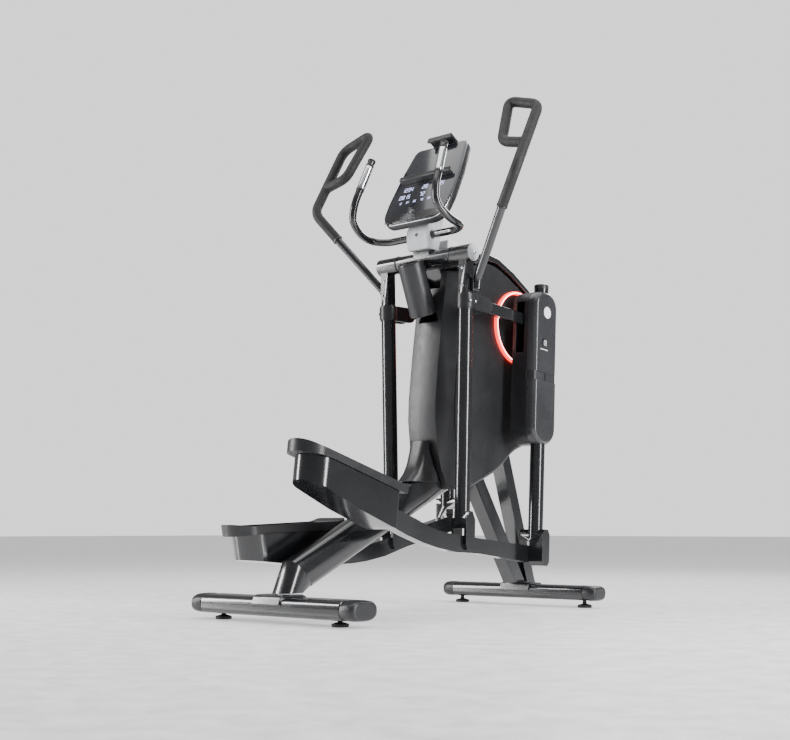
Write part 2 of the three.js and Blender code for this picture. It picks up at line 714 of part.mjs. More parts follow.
// Fork at the foot of the swing arm.
function pedalFork() {
  const z = -ARM_LENGTH;
  const profile = [[-23, z + 74], [-9, z + 100], [9, z + 100], [23, z + 74], [23, z - 8], [12, z - 24],
    [-12, z - 24], [-23, z - 8]];
  const body = slab(profile, 149, 211);
  const slot = block([LEG_X[0] - 1, LEG_X[1] + 1], [-40, 40], [z - 60, z + 44]);
  const pinHole = drum({ y: 0, z }, 153, 206, 10.3, 20);
  return cut(body, slot, pinHole);
}

function pedalPin() {
  return drum({ y: 0, z: 0 }, 153.4, 205.6, 10, 24);
}

// Pedal arm: pivots at (0, 0) and at PEDAL_ARM_LENGTH, a bar that cranks up behind
// the pivot, and a tray with a round heel under the pedal.
const TRAY = { fromX: 80, toX: 203, heel: -716, toe: -345, wall: 5 };
const PEDAL_HEEL = -748;
const PEDAL_UNDERSIDE = [[-780, 182], [-705, 175], [-640, 168], [-486, 142], [-330, 114]];

// The outline from above of a pedal or its tray: a round heel and a nearly square toe.
function soleOutline(fromX, toX, heel, toe, toeRadius) {
  const radius = (toX - fromX) / 2;
  const shape = new THREE.Shape();
  shape.absarc((fromX + toX) / 2, heel + radius, radius, Math.PI, Math.PI * 2);
  shape.lineTo(toX, toe - toeRadius);
  shape.absarc(toX - toeRadius, toe - toeRadius, toeRadius, 0, Math.PI / 2);
  shape.lineTo(fromX + toeRadius, toe);
  shape.absarc(fromX + toeRadius, toe - toeRadius, toeRadius, Math.PI / 2, Math.PI);
  return shape;
}

function upright(outline) {
  return new THREE.ExtrudeGeometry(outline, { depth: 700, bevelEnabled: false, curveSegments: 9 })
    .translate(0, 0, -200);
}

// Keeps what lies inside the outline, seen from above.
function trimmed(body, outline) {
  const around = new THREE.BoxGeometry(600, 1600, 600).translate(142, -500, 150);
  return cut(body, cut(around, upright(outline)));
}

// The tray's upright wall: it follows the pedal's underside and is round at the heel.
function trayWall() {
  const { fromX, toX, heel, toe, wall } = TRAY;
  const top = PEDAL_UNDERSIDE.map(([u, v]) => [u, v - 1.5]);
  const side = slab([[-330, 0], [-378, 8], [-521, 42], [-780, 121], ...top], fromX, toX);
  const inside = soleOutline(fromX + wall, toX - wall, heel + wall, toe - wall, 6);
  return cut(trimmed(side, soleOutline(fromX, toX, heel, toe, 10)), upright(inside));
}

function pedalArm() {
  const shape = new THREE.Shape();
  shape.moveTo(-150, -32);
  shape.lineTo(-57, -36);
  shape.lineTo(60, -29);
  shape.lineTo(PEDAL_ARM_LENGTH, -30);
  shape.absarc(PEDAL_ARM_LENGTH, -2, 28, -Math.PI / 2, Math.PI / 2);
  shape.lineTo(60, 20);
  shape.lineTo(-110, 19);
  shape.quadraticCurveTo(-180, 22, -250, 42);
  shape.lineTo(-395, 72);
  shape.lineTo(-520, 92);
  shape.lineTo(-620, 92);
  shape.lineTo(-620, 74);
  shape.lineTo(-521, 44);
  shape.lineTo(-378, 10);
  shape.quadraticCurveTo(-250, -24, -150, -32);
  const armBar = slab(shape, LEG_X[0] + 0.5, LEG_X[1] - 0.5);
  const floor = slab(
    [[-330, 0], [-378, 8], [-521, 42], [-780, 121], [-780, 127], [-520, 48], [-377, 14], [-330, 6]],
    TRAY.fromX, TRAY.toX,
  );
  const tray = join(trimmed(floor, soleOutline(TRAY.fromX, TRAY.toX, TRAY.heel, TRAY.toe, 10)), trayWall());
  const bores = [0, PEDAL_ARM_LENGTH].map((u) => drum({ y: u, z: 0 }, 150, 210, 10.3, 24));
  return cut(join(armBar, tray), ...bores);
}

// Foot pedal: a shallow dish with a raised rim and an upswept heel.
function footPedal() {
  const side = new THREE.Shape();
  side.moveTo(-780, 182);
  side.lineTo(-705, 175);
  side.lineTo(-640, 168);
  side.lineTo(-486, 142);
  side.lineTo(-330, 114);
  side.quadraticCurveTo(-312, 112, -309, 124);
  side.lineTo(-306, 146);
  side.quadraticCurveTo(-330, 140, -348, 143);
  side.lineTo(-402, 152);
  side.lineTo(-615, 187);
  side.quadraticCurveTo(-660, 195, -700, 200);
  side.lineTo(-780, 226);
  const [fromX, toX] = PEDAL_X;
  const body = trimmed(slab(side, fromX, toX), soleOutline(fromX, toX, PEDAL_HEEL, -306, 16));
  const hollow = slab(
    [[-760, 200], [-700, 186], [-615, 178], [-402, 143], [-340, 133], [-330, 190], [-760, 260]],
    fromX, toX,
  );
  const dish = trimmed(hollow, soleOutline(fromX + 9, toX - 9, PEDAL_HEEL + 9, -332, 14));
  return cut(body, dish);
}

// Stride rod, with its pivot at (0, 0); up is along the rod.
function strideRod() {
  return join(bar([ROD_X, 0, 52], [ROD_X, 0, 936], TUBE_RADIUS, 28), rodFork());
}

function rodFork() {
  const profile = [[-20, 66], [-10, 82], [12, 82], [22, 66], [22, -26], [12, -40], [-10, -40], [-20, -26]];
  const body = slab(profile, 158, 256);
  const legRoom = slab([[-60, -60], [60, -60], [60, 42], [-60, 42]], 140, LEG_X[1] + 1);
  const pinHole = drum({ y: 0, z: 0 }, 195, 240, 10.3, 20);
  return cut(body, legRoom, pinHole);
}

function rodPin() {
  return join(drum({ y: 0, z: 0 }, 156, 239.6, 10, 24), drum({ y: 0, z: 0 }, 152, 159.5, 17, 24));
}

// Capsule on the rod: a round-ended housing in two halves, its inner half slotted
// at the rear where the link enters.
const CAPSULE = { low: 371, high: 912, half: 66, waist: 626 };

function capsuleOutline(inset) {
  const { low, high, half } = CAPSULE;
  const h = half - inset;
  const shape = new THREE.Shape();
  const round = 60 - inset;
  shape.moveTo(-h + round, low + inset);
  shape.lineTo(h - round, low + inset);
  shape.absarc(h - round, low + inset + round, round, -Math.PI / 2, 0);
  shape.lineTo(h, high - inset - round);
  shape.absarc(h - round, high - inset - round, round, 0, Math.PI / 2);
  shape.lineTo(-h + round, high - inset);
  shape.absarc(-h + round, high - inset - round, round, Math.PI / 2, Math.PI);
  shape.lineTo(-h, low + inset + round);
  shape.absarc(-h + round, low + inset + round, round, Math.PI, Math.PI * 1.5);
  return shape;
}

const LINK_WINDOW = { x: [156, 190], z: [690, 870] };

function capsuleInner() {
  const outer = slab(capsuleOutline(0), CAPSULE_X[0], CAPSULE_X[1] - GAP);
  const cavity = slab(capsuleOutline(4), CAPSULE_X[0] + 4, CAPSULE_X[1] + 1);
  const rodRoom = bar([ROD_X, 0, 300], [ROD_X, 0, 1000], TUBE_RADIUS + GAP, 32);
  const window = block(LINK_WINDOW.x, [-80, -50], LINK_WINDOW.z);
  return cut(outer, cavity, rodRoom, window);
}

function capsuleCover() {
  const outer = slab(capsuleOutline(0), CAPSULE_X[1], CAPSULE_X[2]);
  const cavity = slab(capsuleOutline(4), CAPSULE_X[1] - 1, CAPSULE_X[2] - 3.5);
  const rodRoom = bar([ROD_X, 0, 300], [ROD_X, 0, 1000], TUBE_RADIUS + GAP, 32);
  const groove = cut(
    block([CAPSULE_X[1] - 1, CAPSULE_X[2] + 2], [-80, 80], [CAPSULE.waist - 5, CAPSULE.waist + 5]),
    slab(capsuleOutline(1.8), CAPSULE_X[1] - 2, CAPSULE_X[2] - 1.8),
  );
  return cut(outer, cavity, rodRoom, groove);
}

function addSide(side) {
  const sign = side === 'right' ? 1 : -1;
  const shape = (geometry) => (sign > 0 ? geometry : mirrored(geometry));
  const pose = linkage(side);
  const arm = frameAt(trainer, ARM_PIVOT.y, ARM_PIVOT.z, pose.lean);
  place(arm, `swing_arm_${side}`, shape(swingArm()), 'frame');
  place(arm, `link_collar_${side}`, shape(linkCollar()), 'satin');
  place(arm, `hand_lever_${side}`, shape(handLever()), 'frame');
  place(arm, `hand_grip_${side}`, shape(handGrip()), 'rubber');
  const link = frameAt(trainer, pose.linkPivot.y, pose.linkPivot.z, pose.linkSlope);
  place(link, `link_pin_${side}`, shape(linkPin()), 'steel');
  place(link, `stride_link_${side}`, shape(strideLink()), 'frame');
  const leg = frameAt(trainer, pose.pedalPivot.y, pose.pedalPivot.z, pose.legTilt);
  place(leg, `pedal_pin_${side}`, shape(pedalPin()), 'steel');
  place(leg, `pedal_arm_${side}`, shape(pedalArm()), 'frame');
  place(leg, `foot_pedal_${side}`, shape(footPedal()), 'satin');
  const rod = frameAt(trainer, pose.rodPivot.y, pose.rodPivot.z, -pose.rodLean);
  place(rod, `rod_pin_${side}`, shape(rodPin()), 'steel');
  place(rod, `stride_rod_${side}`, shape(strideRod()), 'frame');
  place(rod, `capsule_inner_${side}`, shape(capsuleInner()), 'satin');
  place(rod, `capsule_cover_${side}`, shape(capsuleCover()), 'gloss');
}

// ---------------------------------------------------------------- assembly

place(trainer, 'rear_foot_beam', rearBase(), 'frame');
place(trainer, 'front_foot_beam', frontBase(), 'frame');
for (const [side, sign] of [['right', 1], ['left', -1]]) {
  const turn = (geometry) => (sign > 0 ? geometry : mirrored(geometry));
  place(trainer, `rear_foot_cap_${side}`, turn(footCap(REAR, 108, 56, REAR.half)), 'satin');
  place(trainer, `front_foot_cap_${side}`, turn(footCap(FRONT, 80, 50, FRONT.half)), 'satin');
  place(trainer, `levelling_foot_rear_${side}`, levellingFoot(sign * 245, REAR.y, REAR.z - 28), 'rubber');
  place(trainer, `levelling_foot_front_${side}`, levellingFoot(sign * 270, FRONT.y, FRONT.z - 25), 'rubber');
  place(trainer, `transport_wheel_${side}`, transportWheel(sign * 221), 'rubber');
  place(trainer, `shroud_${side}`, turn(shroudHalf()), 'panel');
  place(trainer, `light_ring_${side}`, turn(lightRing()), 'light');
}
place(trainer, 'main_beam', mainBeam(), 'frame');
place(trainer, 'front_fork', frontFork(), 'frame');
place(trainer, 'upright_frame', uprightFrame(), 'frame');
place(trainer, 'rear_spine', rearSpine(), 'satin');
place(trainer, 'shroud_crown', crown(), 'gloss');
place(trainer, 'beam_boot', beamBoot(), 'satin');
place(trainer, 'crank_shaft', crankShaft(), 'steel');
place(trainer, 'crank_pulley', crankPulley(), 'satin');
place(trainer, 'drive_belt', driveBelt(), 'rubber');
place(trainer, 'flywheel', flywheel(), 'steel');
place(trainer, 'brake_yoke', brakeYoke(), 'steel');
place(trainer, 'console_mast', consoleMast(), 'pale');
place(trainer, 'fixed_handlebar', fixedHandlebar(), 'frame');
place(trainer, 'bottle_holder', bottleHolder(), 'satin');
place(trainer, 'top_cover', topCover(), 'pale');
const console_ = frameAt(trainer, CONSOLE.y, CONSOLE.z, -CONSOLE.recline * DEG);
place(console_, 'console_housing', consoleHousing(), 'satin');
place(console_, 'display_panel', displayPanel(), 'screen');
place(console_, 'tablet_clip', tabletClip(), 'satin');
addSide('right');
addSide('left');

// Put the origin in the middle of the footprint.
trainer.updateMatrixWorld(true);
const extent = new THREE.Box3().setFromObject(trainer, true);
const middle = extent.getCenter(new THREE.Vector3());
trainer.position.set(-middle.x, -middle.y, -extent.min.z);

export default trainer;
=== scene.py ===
import json
import math

import bmesh
import bpy
from mathutils import Matrix, Vector

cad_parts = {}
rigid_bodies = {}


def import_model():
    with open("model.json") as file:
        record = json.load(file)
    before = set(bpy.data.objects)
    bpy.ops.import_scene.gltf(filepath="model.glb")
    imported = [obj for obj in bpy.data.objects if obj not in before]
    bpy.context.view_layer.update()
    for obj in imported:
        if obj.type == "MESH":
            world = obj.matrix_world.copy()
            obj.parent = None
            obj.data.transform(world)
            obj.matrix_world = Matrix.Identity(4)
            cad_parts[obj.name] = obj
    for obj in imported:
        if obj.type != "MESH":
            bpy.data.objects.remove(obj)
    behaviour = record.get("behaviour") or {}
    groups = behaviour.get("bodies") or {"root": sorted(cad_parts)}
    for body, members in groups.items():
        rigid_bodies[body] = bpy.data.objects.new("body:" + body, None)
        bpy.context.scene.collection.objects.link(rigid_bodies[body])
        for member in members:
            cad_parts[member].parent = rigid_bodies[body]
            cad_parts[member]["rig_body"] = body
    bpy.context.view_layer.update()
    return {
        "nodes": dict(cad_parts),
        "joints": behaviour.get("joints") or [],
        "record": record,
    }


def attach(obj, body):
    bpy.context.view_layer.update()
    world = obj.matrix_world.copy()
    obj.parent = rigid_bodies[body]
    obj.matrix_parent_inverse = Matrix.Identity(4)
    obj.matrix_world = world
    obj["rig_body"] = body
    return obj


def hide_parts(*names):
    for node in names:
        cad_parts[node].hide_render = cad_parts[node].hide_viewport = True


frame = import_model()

NODES = frame["nodes"]
JOINTS = {joint["name"]: joint for joint in frame["joints"]}
SLOT_OF = {part["node"]: part["material_slot"] for part in frame["record"]["subparts"]}
BODY_OF = {node: str(NODES[node]["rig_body"]) for node in NODES}
SIDES = (("right", 1), ("left", -1))
MM = 0.001
# What is drawn with the arm pivot 57 mm forward of its origin moves by this much.
FORWARD_SHIFT = JOINTS["swing_right"]["pos_m"][1] - 57 * MM


def mm(*sizes):
    """Sizes in millimetres as a tuple in metres."""
    return tuple(size * MM for size in sizes)


def mm_pairs(pairs):
    """Pairs in millimetres as pairs in metres."""
    return [mm(*pair) for pair in pairs]


# ---------------------------------------------------------------- camera

LENS = 57.96
SENSOR = 36.0
CAMERA_PLACE = (2.7392, JOINTS["swing_right"]["pos_m"][1] - 3.269675, 0.2703)
CAMERA_RISE = 7.13
CAMERA_TURN = 41.38


def make_camera():
    """The camera, at the photograph's viewing angle."""
    data = bpy.data.cameras.new("camera")
    data.lens = LENS
    data.sensor_width = SENSOR
    camera = bpy.data.objects.new("camera", data)
    camera.location = CAMERA_PLACE
    camera.rotation_euler = (math.radians(90 + CAMERA_RISE), 0, math.radians(CAMERA_TURN))
    bpy.context.scene.collection.objects.link(camera)
    bpy.context.scene.camera = camera


# ---------------------------------------------------------------- materials


def shader(name):
    """A new node material: the material, its nodes, its links and its shader."""
    material = bpy.data.materials.new(name)
    material.use_nodes = True
    tree = material.node_tree
    return material, tree.nodes, tree.links, tree.nodes["Principled BSDF"]


def noise(nodes, links, scale, detail=3.0, stretch=(1, 1, 1)):
    """A noise texture over the object's own coordinates."""
    place = nodes.new("ShaderNodeTexCoord")
    mapping = nodes.new("ShaderNodeMapping")
    mapping.inputs["Scale"].default_value = stretch
    texture = nodes.new("ShaderNodeTexNoise")
    texture.inputs["Scale"].default_value = scale
    texture.inputs["Detail"].default_value = detail
    links.new(place.outputs["Object"], mapping.inputs["Vector"])
    links.new(mapping.outputs["Vector"], texture.inputs["Vector"])
    return texture.outputs["Fac"]


def ranged(nodes, links, value, low, high):
    """The value's middle range stretched to low..high."""
    node = nodes.new("ShaderNodeMapRange")
    node.inputs["From Min"].default_value = 0.3
    node.inputs["From Max"].default_value = 0.7
    node.inputs["To Min"].default_value = low
    node.inputs["To Max"].default_value = high
    links.new(value, node.inputs["Value"])
    return node.outputs["Result"]


def worn_colour(nodes, links, base, colour, wear):
    """The colour with slow mottling, and a little lighter along worn edges."""
    tone = nodes.new("ShaderNodeMix")
    tone.data_type = "RGBA"
    tone.inputs["A"].default_value = (*[c * 0.82 for c in colour], 1)
    tone.inputs["B"].default_value = (*[min(1, c * 1.2) for c in colour], 1)
    links.new(ranged(nodes, links, noise(nodes, links, 14), 0, 1), tone.inputs["Factor"])
    geometry = nodes.new("ShaderNodeNewGeometry")
    edge = nodes.new("ShaderNodeMapRange")
    edge.inputs["From Min"].default_value = 0.54
    edge.inputs["From Max"].default_value = 0.62
    edge.inputs["To Max"].default_value = wear
    links.new(geometry.outputs["Pointiness"], edge.inputs["Value"])
    rub = nodes.new("ShaderNodeMix")
    rub.data_type = "RGBA"
    rub.inputs["B"].default_value = (*[min(1, c * 2.2 + 0.01) for c in colour], 1)
    links.new(edge.outputs["Result"], rub.inputs["Factor"])
    links.new(tone.outputs["Result"], rub.inputs["A"])
    links.new(rub.outputs["Result"], base)


def finish_of(name, colour, rough, grain, depth, metal=0.0, coat=0.0, wear=0.5, stretch=(1, 1, 1)):
    """A finish with mottled colour, uneven gloss, fine surface grain and worn edges."""
    material, nodes, links, bsdf = shader(name)
    worn_colour(nodes, links, bsdf.inputs["Base Color"], colour, wear)
    bsdf.inputs["Metallic"].default_value = metal
    bsdf.inputs["Coat Weight"].default_value = coat
    bsdf.inputs["Coat Roughness"].default_value = 0.12
    patches = noise(nodes, links, 42, 5)
    links.new(ranged(nodes, links, patches, rough * 0.88, rough * 1.14), bsdf.inputs["Roughness"])
    bump = nodes.new("ShaderNodeBump")
    bump.inputs["Strength"].default_value = depth
    bump.inputs["Distance"].default_value = 0.0004
    links.new(noise(nodes, links, grain, 4, stretch), bump.inputs["Height"])
    links.new(bump.outputs["Normal"], bsdf.inputs["Normal"])
    return material


def glowing(name, colour, glow, strength):
    """A lit diffuser, a little uneven along its length."""
    material, nodes, links, bsdf = shader(name)
    bsdf.inputs["Base Color"].default_value = (*colour, 1)
    bsdf.inputs["Emission Color"].default_value = (*glow, 1)
    flicker = ranged(nodes, links, noise(nodes, links, 20), strength * 0.9, strength * 1.1)
    links.new(flicker, bsdf.inputs["Emission Strength"])
    return material


FINISH = {
    "frame_paint": finish_of("frame_paint", (0.009, 0.0095, 0.011), 0.2, 1900, 0.08, metal=0.1, coat=0.7),
    "satin_plastic": finish_of("satin_plastic", (0.013, 0.0133, 0.015), 0.36, 1300, 0.25),
    "gloss_plastic": finish_of("gloss_plastic", (0.022, 0.0225, 0.025), 0.3, 1100, 0.1, coat=0.4),
    "panel_plastic": finish_of("panel_plastic", (0.013, 0.0135, 0.015), 0.36, 1500, 0.2, coat=0.1),
    "rubber": finish_of("rubber", (0.01, 0.01, 0.011), 0.62, 800, 0.8, wear=0.2),
    "bright_steel": finish_of(
        "bright_steel", (0.52, 0.53, 0.55), 0.26, 120, 0.3, metal=1.0, wear=0.1, stretch=(1, 30, 30)),
    "pale_plastic": finish_of("pale_plastic", (0.5, 0.51, 0.53), 0.42, 1300, 0.25, wear=0.1),
    "display_glass": finish_of("display_glass", (0.012, 0.013, 0.018), 0.12, 60, 0.02, coat=0.6, wear=0.0),
    "light_ring": glowing("light_ring", (0.5, 0.02, 0.015), (1.0, 0.03, 0.02), 3.2),
}
DEEP_BLACK = finish_of("deep_black", (0.004, 0.004, 0.005), 0.5, 1200, 0.3, wear=0.1)
TRIM_GLOSS = finish_of("trim_gloss", (0.008, 0.008, 0.009), 0.16, 900, 0.05, coat=0.6)
CHROME = finish_of("chrome", (0.78, 0.79, 0.81), 0.14, 200, 0.05, metal=1.0, wear=0.0)
WHITE_MARK = finish_of("white_mark", (0.82, 0.82, 0.83), 0.4, 900, 0.05, wear=0.0)
RING_CORE = glowing("ring_core", (0.9, 0.5, 0.45), (1.0, 0.5, 0.42), 9.0)
DIGIT_GLOW = glowing("digit_glow", (0.6, 0.62, 0.9), (0.62, 0.66, 1.0), 1.5)

# ---------------------------------------------------------------- mesh helpers


def mesh_object(name, points, faces):
    """A new mesh piece with its faces pointing out."""
    mesh = bpy.data.meshes.new(name)
    mesh.from_pydata([tuple(p) for p in points], [], faces)
    mesh.validate()
    solid = bmesh.new()
    solid.from_mesh(mesh)
    bmesh.ops.recalc_face_normals(solid, faces=solid.faces)
    solid.to_mesh(mesh)
    solid.free()
    piece = bpy.data.objects.new(name, mesh)
    bpy.context.scene.collection.objects.link(piece)
    return piece


def smooth(piece, angle=34):
    """Smooth shading, with edges sharper than angle kept."""
    piece.data.shade_smooth()
    piece.data.set_sharp_from_angle(angle=math.radians(angle))


def soften(piece, width, angle=34, segments=3):
    """Rounds the piece's sharp edges by width, in metres."""
    smooth(piece, angle)
    bevel = piece.modifiers.new("edges", "BEVEL")
    bevel.width = width
    bevel.segments = segments
    bevel.limit_method = "ANGLE"
    bevel.angle_limit = math.radians(angle)
    bevel.use_clamp_overlap = True
    shade = piece.modifiers.new("shade", "WEIGHTED_NORMAL")
    shade.keep_sharp = True


def dress(piece, body, slot, material=None):
    """Gives a piece its material, the one for its slot unless another is given, and sets it on its body."""
    piece.data.materials.clear()
    piece.data.materials.append(material or FINISH[slot])
    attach(piece, body)
    return piece


def skin(node, width, angle=34, material=None):
    """A finer copy of a CAD node: its flat faces made whole and its edges rounded."""
    mesh = NODES[node].data.copy()
    solid = bmesh.new()
    solid.from_mesh(mesh)
    bmesh.ops.remove_doubles(solid, verts=solid.verts, dist=0.00002)
    bmesh.ops.dissolve_limit(
        solid, angle_limit=math.radians(1.0), verts=solid.verts, edges=solid.edges)
    solid.to_mesh(mesh)
    solid.free()
    if mesh.has_custom_normals:
        mesh.attributes.remove(mesh.attributes["custom_normal"])
    piece = bpy.data.objects.new(node + "_skin", mesh)
    bpy.context.scene.collection.objects.link(piece)
    soften(piece, width, angle)
    dress(piece, BODY_OF[node], SLOT_OF[node], material)
    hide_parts(node)
    return piece


def rings_to_faces(count, sides, capped=True):
    """Faces that join equal rings of points, one after another."""
    faces = []
    for ring in range(count - 1):
        for k in range(sides):
            a = ring * sides + k
            b = ring * sides + (k + 1) % sides
            faces.append((a, b, b + sides, a + sides))
    if capped:
        faces.append(tuple(reversed(range(sides))))
        faces.append(tuple(range((count - 1) * sides, count * sides)))
    return faces


def sweep(name, path, radii, sides=24):
    """A round tube along a path; radii is one radius, or one for each point."""
    path = [Vector(p) for p in path]
    if not hasattr(radii, "__len__"):
        radii = [radii] * len(path)
    points = []
    side = None
    for k, here in enumerate(path):
        ahead = path[min(k + 1, len(path) - 1)] - path[max(k - 1, 0)]
        ahead.normalize()
        if side is None:
            side = ahead.orthogonal().normalized()
        side = (side - ahead * side.dot(ahead)).normalized()
        other = ahead.cross(side)
        for n in range(sides):
            turn = 2 * math.pi * n / sides
            points.append(here + radii[k] * (side * math.cos(turn) + other * math.sin(turn)))
    piece = mesh_object(name, points, rings_to_faces(len(path), sides))
    smooth(piece, 50)
    return piece


def rounded_path(corners, bend, steps=10):
    """The corners joined by straight runs, each corner rounded by a curve."""
    corners = [Vector(c) for c in corners]
    path = [corners[0]]
    for before, corner, after in zip(corners, corners[1:], corners[2:]):
        back, ahead = before - corner, after - corner
        reach = min(bend, back.length * 0.48, ahead.length * 0.48)
        entry = corner + back.normalized() * reach
        leave = corner + ahead.normalized() * reach
        for n in range(steps + 1):
            t = n / steps
            path.append(entry * (1 - t) ** 2 + corner * 2 * t * (1 - t) + leave * t ** 2)
    path.append(corners[-1])
    return path


def rounded_outline(corners, radius, steps=6):
    """A closed outline of 2-D corners, each rounded."""
    closed = [corners[-1], *corners, corners[0]]
    path = rounded_path([(a, b, 0) for a, b in closed], radius, steps)
    return [(p.x, p.y) for p in path[1:-1]]


def inset(outline, distance):
    """The closed outline moved inwards along its own normals."""
    area = sum(a[0] * b[1] - b[0] * a[1] for a, b in zip(outline, outline[1:] + outline[:1]))
    sign = 1 if area > 0 else -1
    moved = []
    for k, here in enumerate(outline):
        before, after = outline[k - 1], outline[(k + 1) % len(outline)]
        along = Vector((after[0] - before[0], after[1] - before[1])).normalized()
        moved.append((here[0] - sign * along.y * distance, here[1] + sign * along.x * distance))
    return moved


def layered(name, outline, layers, place):
    """A plate built up in layers of (height, inset); place turns (a, b, height) into a point."""
    points = []
    for height, shrink in layers:
        points += [place(a, b, height) for a, b in inset(outline, shrink)]
    piece = mesh_object(name, points, rings_to_faces(len(layers), len(outline)))
    smooth(piece, 40)
    return piece


def lathe(name, profile, matrix, sides=48):
    """A turned piece along the matrix's X: profile is (radius, height) pairs, flat at both ends."""
    points = []
    for radius, height in profile:
        for n in range(sides):
            turn = 2 * math.pi * n / sides
            points.append(matrix @ Vector((height, radius * math.cos(turn), radius * math.sin(turn))))
    piece = mesh_object(name, points, rings_to_faces(len(profile), sides))
    smooth(piece, 38)
    return piece


def box_piece(name, low, high, matrix, width):
    """A block with rounded edges between two corners."""
    corners = [(x, y, z) for z in (low[2], high[2]) for y in (low[1], high[1]) for x in (low[0], high[0])]
    faces = [(0, 2, 3, 1), (4, 5, 7, 6), (0, 1, 5, 4), (2, 6, 7, 3), (0, 4, 6, 2), (1, 3, 7, 5)]
    piece = mesh_object(name, [matrix @ Vector(c) for c in corners], faces)
    soften(piece, width)
    return piece


def joined(name, pieces):
    """Several pieces made into one new smooth-shaded piece; the pieces themselves are removed."""
    solid = bmesh.new()
    for piece in pieces:
        solid.from_mesh(piece.data)
    mesh = bpy.data.meshes.new(name)
    solid.to_mesh(mesh)
    solid.free()
    whole = bpy.data.objects.new(name, mesh)
    bpy.context.scene.collection.objects.link(whole)
    for piece in pieces:
        bpy.data.objects.remove(piece)
    smooth(whole, 40)
    return whole


# ---------------------------------------------------------------- frames of the moving parts


def joint_place(name):
    """Where the record puts a joint."""
    return Vector(JOINTS[name]["pos_m"])


def tilted(place, angle):
    """The frame of pieces drawn as (x, forward, up) from a pivot and then tilted."""
    return Matrix.Translation((0, place.y, place.z)) @ Matrix.Rotation(angle, 4, "X")


CRANK_RADIUS = 58 * MM
PIN_ANGLE = {"right": -97, "left": 83}
LINK_SLOPE = {"right": -3.9, "left": 17.4}
CONSOLE_RECLINE = 29.7
CONSOLE_FOOT = Vector((0, FORWARD_SHIFT - 30 * MM, 1303 * MM))


def side_frames(side):
    """The frames of one side's swing arm, pedal arm, stride rod and link."""
    pivot = joint_place(f"swing_{side}")
    pedal = joint_place(f"pedal_swing_{side}")
    foot = joint_place(f"rod_swing_{side}")
    crank = joint_place("crank_turn")
    turn = math.radians(PIN_ANGLE[side])
    pin = crank + CRANK_RADIUS * Vector((0, math.cos(turn), math.sin(turn)))
    return {
        "arm": tilted(pivot, math.atan2(pedal.y - pivot.y, pivot.z - pedal.z)),
        "leg": tilted(pedal, math.atan2(foot.z - pedal.z, foot.y - pedal.y)),
        "rod": tilted(foot, -math.atan2(pin.y - foot.y, pin.z - foot.z)),
        "link": tilted(joint_place(f"link_swing_{side}"), math.radians(LINK_SLOPE[side])),
    }


def console_frame():
    """The frame of the leaning console, drawn from its foot."""
    return Matrix.Translation(CONSOLE_FOOT) @ Matrix.Rotation(math.radians(-CONSOLE_RECLINE), 4, "X")


# ---------------------------------------------------------------- small fittings


def bolt(name, place, outward, body, radius=7 * MM):
    """A button-head screw with a socket, its head standing on place."""
    turn = Vector((1, 0, 0)).rotation_difference(Vector(outward)).to_matrix().to_4x4()
    r = radius
    profile = [
        (r * 0.98, 0), (r, r * 0.12), (r * 0.9, r * 0.4), (r * 0.62, r * 0.56), (r * 0.46, r * 0.58),
        (r * 0.42, r * 0.5), (r * 0.4, r * 0.2), (r * 0.02, r * 0.18),
    ]
    piece = lathe(name, profile, Matrix.Translation(place) @ turn, 24)
    return dress(piece, body, "bright_steel")


SEGMENTS = {
    "a": ((0, 1), (1, 1)), "b": ((1, 0.5), (1, 1)), "c": ((1, 0), (1, 0.5)), "d": ((0, 0), (1, 0)),
    "e": ((0, 0), (0, 0.5)), "f": ((0, 0.5), (0, 1)), "g": ((0, 0.5), (1, 0.5)),
}
LIT = {
    "0": "abcdef", "1": "bc", "2": "abged", "3": "abgcd", "4": "fgbc",
    "5": "afgcd", "6": "afgedc", "7": "abc", "8": "abcdefg", "9": "abcdfg",
}


def digit_boxes(text, left, low, size, stroke):
    """The bars of a seven-segment number, as (left, low, right, high) rectangles."""
    bars = []
    for n, symbol in enumerate(text):
        x0 = left + n * size * 0.78
        for segment in LIT.get(symbol, ""):
            (ax, az), (bx, bz) = SEGMENTS[segment]
            bars.append((
                x0 + ax * size * 0.5 - stroke / 2, low + az * size - stroke / 2,
                x0 + bx * size * 0.5 + stroke / 2, low + bz * size + stroke / 2,
            ))
    return bars


def number_piece(name, bars, place):
    """Thin raised bars; place turns (a, b, height) into a point."""
    points, faces = [], []
    for x0, z0, x1, z1 in bars:
        start = len(points)
        for height in (0, 0.4 * MM):
            points += [place(a, b, height) for a, b in ((x0, z0), (x1, z0), (x1, z1), (x0, z1))]
        faces += [tuple(start + k for k in face) for face in rings_to_faces(2, 4)]
    return mesh_object(name, points, faces)


# ---------------------------------------------------------------- body of the machine

SHELL = [
    (150, 402), (113, 470), (94, 535), (83, 638), (86, 710), (103, 850), (126, 1002), (151, 1144),
    (190, 1172), (250, 1194), (315, 1190), (400, 1157), (500, 1106), (560, 1056), (592, 980),
    (602, 870), (592, 750), (574, 645), (548, 586), (470, 562), (404, 538), (327, 474),
]
SHROUD_HALF = 105 * MM


def shell_outline():
    """The casing's side outline in metres, with its corners rounded."""
    corners = [(y * MM + FORWARD_SHIFT, z * MM) for y, z in SHELL]
    return rounded_outline(corners, 60 * MM, 5)


